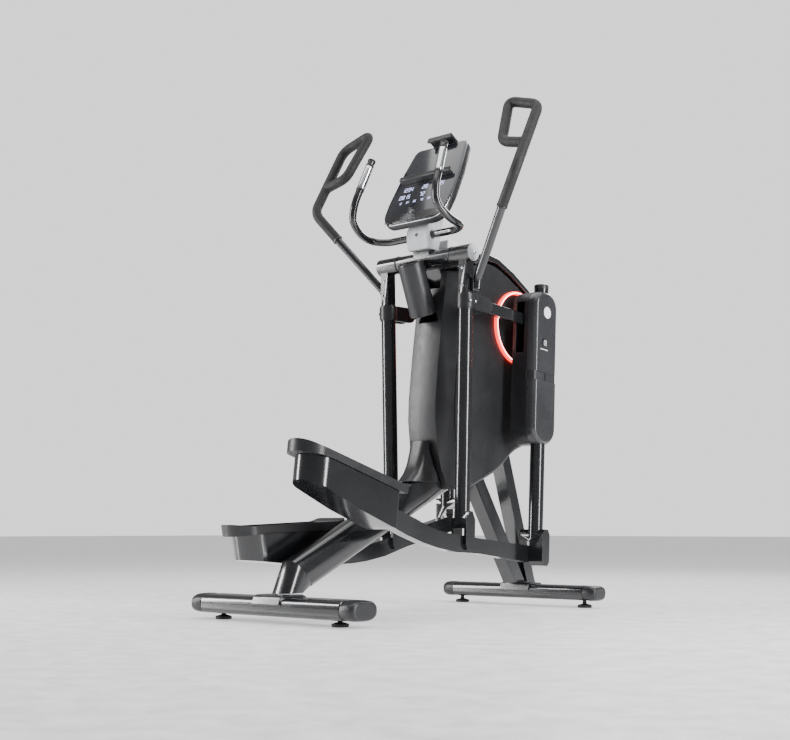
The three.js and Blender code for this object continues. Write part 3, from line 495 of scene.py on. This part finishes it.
def make_shrouds():
    """The casing's two side shells, each with a rounded outer edge."""
    outline = shell_outline()
    for side, sign in SIDES:
        layers = [
            (0.4 * MM, 0.6 * MM), (0.8 * MM, 0), (SHROUD_HALF - 11 * MM, 0), (SHROUD_HALF - 6 * MM, 1.2 * MM),
            (SHROUD_HALF - 2.4 * MM, 4.2 * MM), (SHROUD_HALF - 0.6 * MM, 9 * MM), (SHROUD_HALF, 15 * MM),
        ]
        piece = layered(
            f"side_panel_{side}", outline, layers, lambda y, z, x, s=sign: Vector((s * x, y, z)))
        dress(piece, "base", "panel_plastic")
        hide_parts(f"shroud_{side}")


def make_light_rings():
    """The lit rings round the crank, their bright cores and the dark wells inside them."""
    crank = joint_place("crank_turn")
    for side, sign in SIDES:
        turn = Matrix.Translation((sign * 105.3 * MM, crank.y, crank.z)) @ Matrix.Diagonal((sign, 1, 1, 1))
        profile = mm_pairs([
            (119, 0.2), (131, 0.2), (131, 8), (129.5, 10.5), (127, 11.6), (122, 11.6), (119.8, 10.5),
            (119, 8), (119, 0.2),
        ])
        ring = lathe(f"ring_{side}", profile, turn, 96)
        open_ring(ring, len(profile), 96)
        dress(ring, "base", "light_ring")
        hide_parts(f"light_ring_{side}")
        strip = mm_pairs([(122.4, 11.4), (127, 11.4), (126.6, 12), (122.8, 12), (122.4, 11.4)])
        core = lathe(f"ring_core_{side}", strip, turn, 96)
        open_ring(core, len(strip), 96)
        dress(core, "base", "light_ring", RING_CORE)
        disc = mm_pairs([(0.5, 0.6), (0.5, 2), (104, 2), (118, 1.2), (118, 0.2)])
        hub = lathe(f"crank_well_{side}", disc, turn, 72)
        dress(hub, "base", "satin_plastic", DEEP_BLACK)


def open_ring(piece, rings, sides):
    """Removes a closed profile's end caps and welds its first ring to its last."""
    solid = bmesh.new()
    solid.from_mesh(piece.data)
    caps = [face for face in solid.faces if len(face.verts) == sides]
    bmesh.ops.delete(solid, geom=caps, context="FACES_ONLY")
    bmesh.ops.remove_doubles(solid, verts=solid.verts, dist=1e-6)
    bmesh.ops.recalc_face_normals(solid, faces=solid.faces)
    solid.to_mesh(piece.data)
    solid.free()
    smooth(piece, 50)


def make_bottle_holder():
    """The leaning cup: its wall, rolled rim and floor."""
    foot = Vector((0, 42 * MM + FORWARD_SHIFT, 988 * MM))
    rim = Vector((0, -26 * MM + FORWARD_SHIFT, 1160 * MM))
    axis = rim - foot
    tall = axis.length
    turn = Vector((1, 0, 0)).rotation_difference(axis).to_matrix().to_4x4()
    profile = [
        (1 * MM, 0), (37 * MM, 0), (43 * MM, 2 * MM), (44.6 * MM, 7 * MM), (44.8 * MM, tall - 9 * MM),
        (44.8 * MM, tall - 4 * MM), (43.6 * MM, tall - 1 * MM), (42 * MM, tall), (40.6 * MM, tall - 1.4 * MM),
        (40 * MM, tall - 5 * MM), (39.6 * MM, 12 * MM), (36 * MM, 7 * MM), (1 * MM, 6 * MM),
    ]
    cup = lathe("bottle_cup", profile, Matrix.Translation(foot) @ turn, 64)
    dress(cup, "base", "satin_plastic")
    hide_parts("bottle_holder")


# ---------------------------------------------------------------- console

FACE = [(-98, 0), (-124, 14), (-138, 42), (-142, 100), (-134, 232), (-118, 336), (-104, 352),
        (104, 352), (118, 336), (134, 232), (142, 100), (138, 42), (124, 14), (98, 0)]
BACK = [(-96, 40), (-102, 232), (-88, 314), (88, 314), (102, 232), (96, 40)]
DISPLAY_NUMBERS = [
    ("1234", -96, 148, 16), ("28", -6, 148, 16), ("105", 54, 148, 16),
    ("0815", -96, 114, 16), ("72", -6, 114, 16), ("36", 54, 114, 16),
    ("12", -88, 90, 9), ("34", -56, 90, 9), ("56", -24, 90, 9), ("78", 8, 90, 9), ("90", 40, 90, 9),
]


def make_console():
    """The housing, its back, trim, glass and digits, the tablet ledge and the sliding clip."""
    matrix = console_frame()
    outline = rounded_outline([(x * MM, z * MM) for x, z in FACE], 22 * MM, 5)
    place = lambda a, b, height: matrix @ Vector((a, height, b))
    housing = layered("console_shell", outline, [
        (8.4 * MM, 1 * MM), (9.4 * MM, 0.2 * MM), (26 * MM, 0), (34 * MM, 2.4 * MM), (39 * MM, 9 * MM),
    ], place)
    back_outline = rounded_outline([(x * MM, z * MM) for x, z in BACK], 24 * MM, 5)
    back = layered("console_back", back_outline, [
        (38 * MM, 0), (50 * MM, 1 * MM), (55 * MM, 4 * MM), (57.6 * MM, 10 * MM)], place)
    dress(back, "base", "satin_plastic")
    dress(housing, "base", "satin_plastic")
    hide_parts("console_housing")
    trim = layered("console_trim", outline, [
        mm(6.4, 2.4), mm(6, 0.6), mm(7, 0.1), mm(8.3, 0.1), mm(8.4, 2)], place)
    dress(trim, "base", "pale_plastic", CHROME)
    glass = layered("console_glass", inset(outline, 3 * MM), [
        (6.4 * MM, 0.2 * MM), (3.4 * MM, 0), (1.8 * MM, 1.2 * MM), (1.05 * MM, 4 * MM)], place)
    dress(glass, "base", "display_glass")
    ledge = box_piece("tablet_ledge", mm(-112, -22, 186), mm(112, 2, 196), matrix, 2.4 * MM)
    lip = box_piece("ledge_lip", mm(-112, -22, 190), mm(112, -16.4, 204), matrix, 2 * MM)
    dress(ledge, "base", "satin_plastic")
    dress(lip, "base", "rubber")
    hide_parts("display_panel")
    strip = box_piece("console_bevel", mm(-118, 0.2, 8), mm(118, 3, 40), matrix, 1.4 * MM)
    dress(strip, "base", "gloss_plastic", TRIM_GLOSS)
    front = lambda a, b, height: matrix @ Vector((a, 1.05 * MM - height, b))
    bars = []
    for text, left, low, size in DISPLAY_NUMBERS:
        bars += digit_boxes(text, left * MM, low * MM, size * MM, size * 0.09 * MM)
    dress(number_piece("console_digits", bars, front), "base", "display_glass", DIGIT_GLOW)
    skin("tablet_clip", 1.6 * MM)
    pad = box_piece("clip_pad", mm(-46, -16.8, 355), mm(46, -13.6, 363), matrix, 1 * MM)
    dress(pad, "tablet_clip", "rubber")


HORN = [(20, 40, 1262), (150, 34, 1260), (196, 6, 1264), (196, -60, 1276), (186, -116, 1318),
        (180, -108, 1380), (162, -40, 1542)]
PULSE_PLATE = (0.3, 0.86)


def make_handlebar():
    """The fixed bar, with a metal pulse plate and end rings on each horn."""
    tubes = []
    for side, sign in SIDES:
        corners = [(sign * x * MM, y * MM + FORWARD_SHIFT, z * MM) for x, y, z in HORN]
        tubes.append(sweep(f"horn_{side}", rounded_path(corners, 34 * MM, 12), 12.9 * MM, 28))
        low, high = Vector(corners[5]), Vector(corners[6])
        start, stop = PULSE_PLATE
        stretch = [low.lerp(high, start + (stop - start) * n / 12) for n in range(13)]
        radii = [12.6 * MM] + [13.8 * MM] * 11 + [12.6 * MM]
        dress(sweep(f"pulse_plate_{side}", stretch, radii, 32), "base", "bright_steel", CHROME)
        for end, share in (("low", PULSE_PLATE[0]), ("high", PULSE_PLATE[1])):
            middle = low.lerp(high, share)
            along = (high - low).normalized()
            band = [middle + along * MM * offset for offset in (-4, -3, 0, 3, 4)]
            ring = sweep(f"pulse_band_{end}_{side}", band, mm(13, 14.2, 14.5, 14.2, 13), 32)
            dress(ring, "base", "rubber")
        tip = [high - along * distance * MM for distance in (9, 7.6, 1.2, 0.2)]
        cap = sweep(f"horn_cap_{side}", tip, [13 * MM, 14 * MM, 14 * MM, 11.6 * MM], 32)
        dress(cap, "base", "rubber")
    middle = [(x * MM, 40 * MM + FORWARD_SHIFT, 1262 * MM) for x in (-60, -20, 20, 60)]
    tubes.append(sweep("cross", middle, 12.9 * MM, 28))
    bar = joined("handlebar", tubes)
    dress(bar, "base", "frame_paint")
    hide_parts("fixed_handlebar")


# ---------------------------------------------------------------- one side

LEVER = {
    "root": (206, 20, -122), "rise": (208, 20, -84), "grip": (360, -55, 115), "elbow": (442, -92, 222),
    "outer_top": (428, 50, 475.5), "inner_top": (300, 60, 517.5), "inner_low": (341, -32, 344),
    "outer_low": (437, -38, 320),
}
FOAM_RADIUS = 17.6 * MM
CAPSULE = {"low": 371, "high": 912, "half": 66, "round": 60}
WAIST = (591 * MM, 623 * MM)


def lever_points(names, matrix, sign):
    """The named points of the lever, in metres."""
    return [matrix @ (Vector((sign * LEVER[n][0], LEVER[n][1], LEVER[n][2])) * MM) for n in names]


def make_lever(side, sign, matrix):
    """The bent lever tube and its foam loop, fused where the loop's foot meets it."""
    body = f"swing_arm_{side}"
    tube = sweep(
        f"lever_tube_{side}", rounded_path(lever_points(("root", "rise", "grip"), matrix, sign), 30 * MM, 14),
        14.3 * MM, 28)
    pad = box_piece(
        f"lever_pad_{side}", (191.5 * MM, 3 * MM, -127 * MM), (204 * MM, 37 * MM, -81 * MM),
        matrix @ Matrix.Diagonal((sign, 1, 1, 1)), 4 * MM)
    dress(tube, body, "frame_paint")
    dress(pad, body, "frame_paint")
    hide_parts(f"hand_lever_{side}")
    grip, elbow, outer_top, inner_top, inner_low, outer_low = lever_points(
        ("grip", "elbow", "outer_top", "inner_top", "inner_low", "outer_low"), matrix, sign)
    middle = (inner_top + inner_low) / 2
    over_top = rounded_path([grip, elbow, outer_top, inner_top, middle], 34 * MM, 12)
    upper = sweep("upper", over_top, FOAM_RADIUS, 24)
    lower = sweep("lower", rounded_path([middle, inner_low, outer_low], 30 * MM, 12), FOAM_RADIUS, 24)
    foam = joined(f"foam_loop_{side}", [upper, lower])
    fuse = foam.modifiers.new("fuse", "REMESH")
    fuse.mode = "VOXEL"
    fuse.voxel_size = 2.2 * MM
    fuse.use_smooth_shade = True
    ease = foam.modifiers.new("ease", "SMOOTH")
    ease.iterations = 6
    dress(foam, body, "rubber")
    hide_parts(f"hand_grip_{side}")
    ahead = (elbow - grip).normalized()
    ring = [grip + ahead * MM * offset for offset in (0.4, 1.2, 6, 8)]
    end = sweep(f"foam_end_{side}", ring, mm(16.8, 18.6, 18.6, 17.4), 32)
    dress(end, body, "satin_plastic")


def capsule_outline():
    """The cover's outline in metres: a long shape with large round corners."""
    half, low, high = CAPSULE["half"], CAPSULE["low"], CAPSULE["high"]
    corners = [(-half, low), (half, low), (half, high), (-half, high)]
    arc = []
    r = CAPSULE["round"]
    for (x, z), start in zip(corners, (180, 270, 0, 90)):
        centre_x = x + (r if x < 0 else -r)
        centre_z = z + (r if z == low else -r)
        for n in range(13):
            turn = math.radians(start + 90 * n / 12)
            arc.append(((centre_x + r * math.cos(turn)) * MM, (centre_z + r * math.sin(turn)) * MM))
    return arc


def kept_between(piece, matrix, low, high):
    """Keeps the part of a closed piece between two heights of the matrix's frame."""
    solid = bmesh.new()
    solid.from_mesh(piece.data)
    axis = matrix.to_3x3() @ Vector((0, 0, 1))
    for height, outward in ((low, -axis), (high, axis)):
        everything = solid.verts[:] + solid.edges[:] + solid.faces[:]
        made = bmesh.ops.bisect_plane(
            solid, geom=everything, dist=1e-6, plane_co=matrix @ Vector((0, 0, height)),
            plane_no=outward, clear_outer=True)
        rim = [part for part in made["geom_cut"] if isinstance(part, bmesh.types.BMEdge)]
        if rim:
            bmesh.ops.edgeloop_fill(solid, edges=rim)
    bmesh.ops.recalc_face_normals(solid, faces=solid.faces)
    solid.to_mesh(piece.data)
    solid.free()
    smooth(piece, 40)
    return piece


def make_capsule(side, sign, matrix):
    """The cover's two shells and the recessed band between them, with its badge and window."""
    body = f"stride_rod_{side}"
    place = lambda y, z, x: matrix @ Vector((sign * x, y, z))
    outline = capsule_outline()
    rim = [(204.3 * MM, 0.8 * MM), (205 * MM, 0.1 * MM), (226 * MM, 0.1 * MM)]
    flat = layered(f"capsule_upper_{side}", outline, rim + [
        (232 * MM, 2.2 * MM), (238 * MM, 9 * MM), (239.6 * MM, 11.4 * MM), (240.2 * MM, 14 * MM)], place)
    full = layered(f"capsule_lower_{side}", outline, rim + [
        (233 * MM, 1.8 * MM), (239.4 * MM, 8 * MM), (241.2 * MM, 10.6 * MM), (241.8 * MM, 14 * MM)], place)
    waistband = layered(f"capsule_band_{side}", outline, [
        (204.6 * MM, 2.6 * MM), (229 * MM, 2.6 * MM), (234 * MM, 4.6 * MM), (236.4 * MM, 8.4 * MM)], place)
    low, high = WAIST
    kept_between(flat, matrix, high, 1)
    kept_between(full, matrix, 0, low)
    kept_between(waistband, matrix, low - 2 * MM, high + 2 * MM)
    dress(flat, body, "gloss_plastic")
    dress(full, body, "gloss_plastic")
    dress(waistband, body, "satin_plastic")
    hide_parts(f"capsule_cover_{side}")
    out = matrix @ Matrix.Diagonal((sign, 1, 1, 1))
    face = 240.2 * MM
    disc = [(0.4 * MM, 0), (20 * MM, 0), (20.6 * MM, 0.5 * MM), (20 * MM, 0.9 * MM), (0.4 * MM, 1 * MM)]
    badge = lathe(f"badge_{side}", disc, out @ Matrix.Translation((face, 0, 835 * MM)), 48)
    dress(badge, body, "pale_plastic", WHITE_MARK)
    window = box_piece(
        f"stride_window_{side}", (face - 1 * MM, *mm(-34, 712)), (face + 0.5 * MM, *mm(0, 740)), out,
        0.5 * MM)
    dress(window, body, "display_glass")
    front = lambda a, b, height: out @ Vector((face + 0.5 * MM + height, a, b))
    bars = digit_boxes("18", -24 * MM, 717 * MM, 17 * MM, 2.2 * MM)
    dress(number_piece(f"stride_digits_{side}", bars, front), body, "display_glass", WHITE_MARK)
    line = [(-36 * MM, 700 * MM, 6 * MM, 703 * MM)]
    dress(number_piece(f"stride_line_{side}", line, lambda a, b, h: out @ Vector((face + h, a, b))),
          body, "pale_plastic", WHITE_MARK)


HEEL = {"forward": -682, "tread_radius": 55}


def make_pedal(side, sign, matrix):
    """The pedal's shell, with raised treads across its dish."""
    skin(f"foot_pedal_{side}", 3.2 * MM, 30)
    body = f"pedal_arm_{side}"
    dish = [(-736, 194.4), (-700, 186), (-615, 178), (-402, 143), (-348, 134.3)]
    points, faces = [], []
    rows = 26
    for row in range(rows):
        u = dish[0][0] + (dish[-1][0] - dish[0][0]) * (row + 0.5) / rows
        (u0, v0), (u1, v1) = next(pair for pair in zip(dish, dish[1:]) if pair[0][0] <= u <= pair[1][0])
        v = v0 + (v1 - v0) * (u - u0) / (u1 - u0)
        for column in range(6):
            low = 90 + column * 18
            reach = max(abs(low - 142), abs(low + 14 - 142))
            if u < HEEL["forward"] and math.hypot(reach, u - 6 - HEEL["forward"]) > HEEL["tread_radius"]:
                continue
            start = len(points)
            slope = (v1 - v0) / (u1 - u0)
            for lift, shrink in ((-1, 0), (1.6, 0), (2.4, 1.2)):
                for x, forward in ((low + shrink, -4 + shrink), (low + 14 - shrink, -4 + shrink),
                                   (low + 14 - shrink, 4 - shrink), (low + shrink, 4 - shrink)):
                    skew = (x - 142) * 0.12 * (1 if column % 2 else -1)
                    along = u + forward + skew
                    height = v + slope * (forward + skew) + lift
                    points.append(matrix @ (Vector((sign * x, along, height)) * MM))
            faces += [tuple(start + k for k in face) for face in rings_to_faces(3, 4)]
    treads = mesh_object(f"pedal_treads_{side}", points, faces)
    dress(treads, body, "rubber")


def make_arm_fittings(side, sign, matrix):
    """End cap, joint ring and screws on the swing arm's sleeve, and the collar's screws."""
    body = f"swing_arm_{side}"
    out = matrix @ Matrix.Diagonal((sign, 1, 1, 1))
    cap = mm_pairs([(0.5, 5), (9, 5.4), (20, 5), (27, 3.6), (29.2, 1), (29.2, -0.6), (0.5, -0.6)])
    end = lathe(f"sleeve_cap_{side}", cap, out @ Matrix.Translation((203 * MM, 0, 0)), 48)
    dress(end, body, "pale_plastic")
    bolt(f"sleeve_screw_{side}", out @ Vector((208 * MM, 0, 0)), Vector((sign, 0, 0)), body, 7.5 * MM)
    band = [(30.9 * MM, 0), (31.4 * MM, 1 * MM), (31.4 * MM, 4 * MM), (30.9 * MM, 5 * MM), (29 * MM, 5 * MM),
            (29 * MM, 0), (30.9 * MM, 0)]
    ring = lathe(f"sleeve_ring_{side}", band, out @ Matrix.Translation((116 * MM, 0, 0)), 48)
    open_ring(ring, len(band), 48)
    dress(ring, body, "satin_plastic", TRIM_GLOSS)
    back = matrix.to_3x3() @ Vector((0, -1, 0))
    for n, height in enumerate((-52, -112)):
        bolt(f"post_screw_{n}_{side}", matrix @ (Vector((sign * 175, -20, height)) * MM), back, body, 6 * MM)
    for n, forward in enumerate((-12, 14)):
        bolt(
            f"collar_screw_{n}_{side}", matrix @ (Vector((sign * 206, forward, -164)) * MM), (sign, 0, 0),
            body, 5 * MM)


def make_rod_fittings(side, sign, matrix):
    """The cap on top of the stride rod."""
    body = f"stride_rod_{side}"
    top = [(25.2 * MM, 922 * MM), (25.6 * MM, 923 * MM), (25.6 * MM, 933 * MM), (23 * MM, 936.4 * MM),
           (0.5 * MM, 937 * MM), (0.5 * MM, 922 * MM)]
    rod_line = matrix @ Matrix.Translation((sign * 212 * MM, 0, 0))
    upright = rod_line @ Matrix.Rotation(math.radians(-90), 4, "Y")
    dress(lathe(f"rod_cap_{side}", top, upright, 40), body, "satin_plastic")


# ---------------------------------------------------------------- stage

FLOOR_HALF = 40.0
FLOOR_GLOW = 0.55
SKY = (0.83, 0.83, 0.84, 1)


def area_light(name, place, aim, size, power):
    """A soft rectangular light that points at aim."""
    data = bpy.data.lights.new(name, "AREA")
    data.shape = "RECTANGLE"
    data.size, data.size_y = size
    data.energy = power
    light = bpy.data.objects.new(name, data)
    light.location = place
    light.rotation_euler = (Vector(aim) - Vector(place)).to_track_quat("-Z", "Y").to_euler()
    bpy.context.scene.collection.objects.link(light)


def make_stage():
    """The pale floor, the surround and four soft lights."""
    corners = [(-FLOOR_HALF, -FLOOR_HALF, 0), (FLOOR_HALF, -FLOOR_HALF, 0), (FLOOR_HALF, FLOOR_HALF, 0),
               (-FLOOR_HALF, FLOOR_HALF, 0)]
    floor = mesh_object("floor", corners, [(0, 1, 2, 3)])
    paint = finish_of("floor_paint", (0.84, 0.84, 0.85), 0.3, 300, 0.02, wear=0.0)
    shine = paint.node_tree.nodes["Principled BSDF"]
    shine.inputs["Emission Color"].default_value = SKY
    shine.inputs["Emission Strength"].default_value = FLOOR_GLOW
    floor.data.materials.append(paint)
    world = bpy.data.worlds.new("studio")
    bpy.context.scene.world = world
    world.use_nodes = True
    seen_and_lit(world.node_tree)
    area_light("overhead", (0, 0, 4.6), (0, 0, 0), (5.0, 5.0), 170)
    area_light("left_strip", (-2.8, -2.4, 1.7), (0, 0, 1.0), (0.5, 3.0), 150)
    area_light("right_strip", (3.3, 0.4, 1.8), (0, 0, 1.0), (0.6, 3.2), 170)
    area_light("back", (-0.6, 3.4, 3.0), (0, 0, 1.0), (2.4, 1.6), 90)


def seen_and_lit(tree):
    """The studio's pale surround: bright where it is seen, dimmer where it lights the object."""
    seen = tree.nodes["Background"]
    seen.inputs["Color"].default_value = SKY
    seen.inputs["Strength"].default_value = 1.7
    lit = tree.nodes.new("ShaderNodeBackground")
    lit.inputs["Color"].default_value = SKY
    lit.inputs["Strength"].default_value = 0.36
    ray = tree.nodes.new("ShaderNodeLightPath")
    mix = tree.nodes.new("ShaderNodeMixShader")
    tree.links.new(ray.outputs["Is Camera Ray"], mix.inputs[0])
    tree.links.new(lit.outputs[0], mix.inputs[1])
    tree.links.new(seen.outputs[0], mix.inputs[2])
    tree.links.new(mix.outputs[0], tree.nodes["World Output"].inputs["Surface"])


# ---------------------------------------------------------------- all together

SKINS = {
    "rear_foot_beam": 2.4, "front_foot_beam": 2.0, "main_beam": 2.4, "front_fork": 4.0, "upright_frame": 1.4,
    "rear_spine": 1.4, "beam_boot": 1.2, "crank_shaft": 1.0, "console_mast": 3.0, 
    "crank_pulley": 0.8, "flywheel": 1.0, "brake_yoke": 1.0, "drive_belt": 0.5,
}
SIDE_SKINS = {
    "rear_foot_cap": 1.5, "front_foot_cap": 1.5, "transport_wheel": 2.5, "swing_arm": 1.8, "link_collar": 3.0,
    "link_pin": 1.0, "stride_link": 3.0, "pedal_pin": 1.0, "pedal_arm": 1.2, "rod_pin": 1.6,
    "stride_rod": 1.6,
    "capsule_inner": 2.4, "levelling_foot_rear": 1.0, "levelling_foot_front": 1.0,
}

make_camera()
for node, width in SKINS.items():
    skin(node, width * MM)
skin("shroud_crown", 4 * MM, material=TRIM_GLOSS)
skin("top_cover", 5 * MM, material=WHITE_MARK)
for node, width in SIDE_SKINS.items():
    for side, _ in SIDES:
        skin(f"{node}_{side}", width * MM)
make_shrouds()
make_light_rings()
make_bottle_holder()
make_console()
make_handlebar()
for side, sign in SIDES:
    frames = side_frames(side)
    make_lever(side, sign, frames["arm"])
    make_arm_fittings(side, sign, frames["arm"])
    make_pedal(side, sign, frames["leg"])
    make_capsule(side, sign, frames["rod"])
    make_rod_fittings(side, sign, frames["rod"])
make_stage()
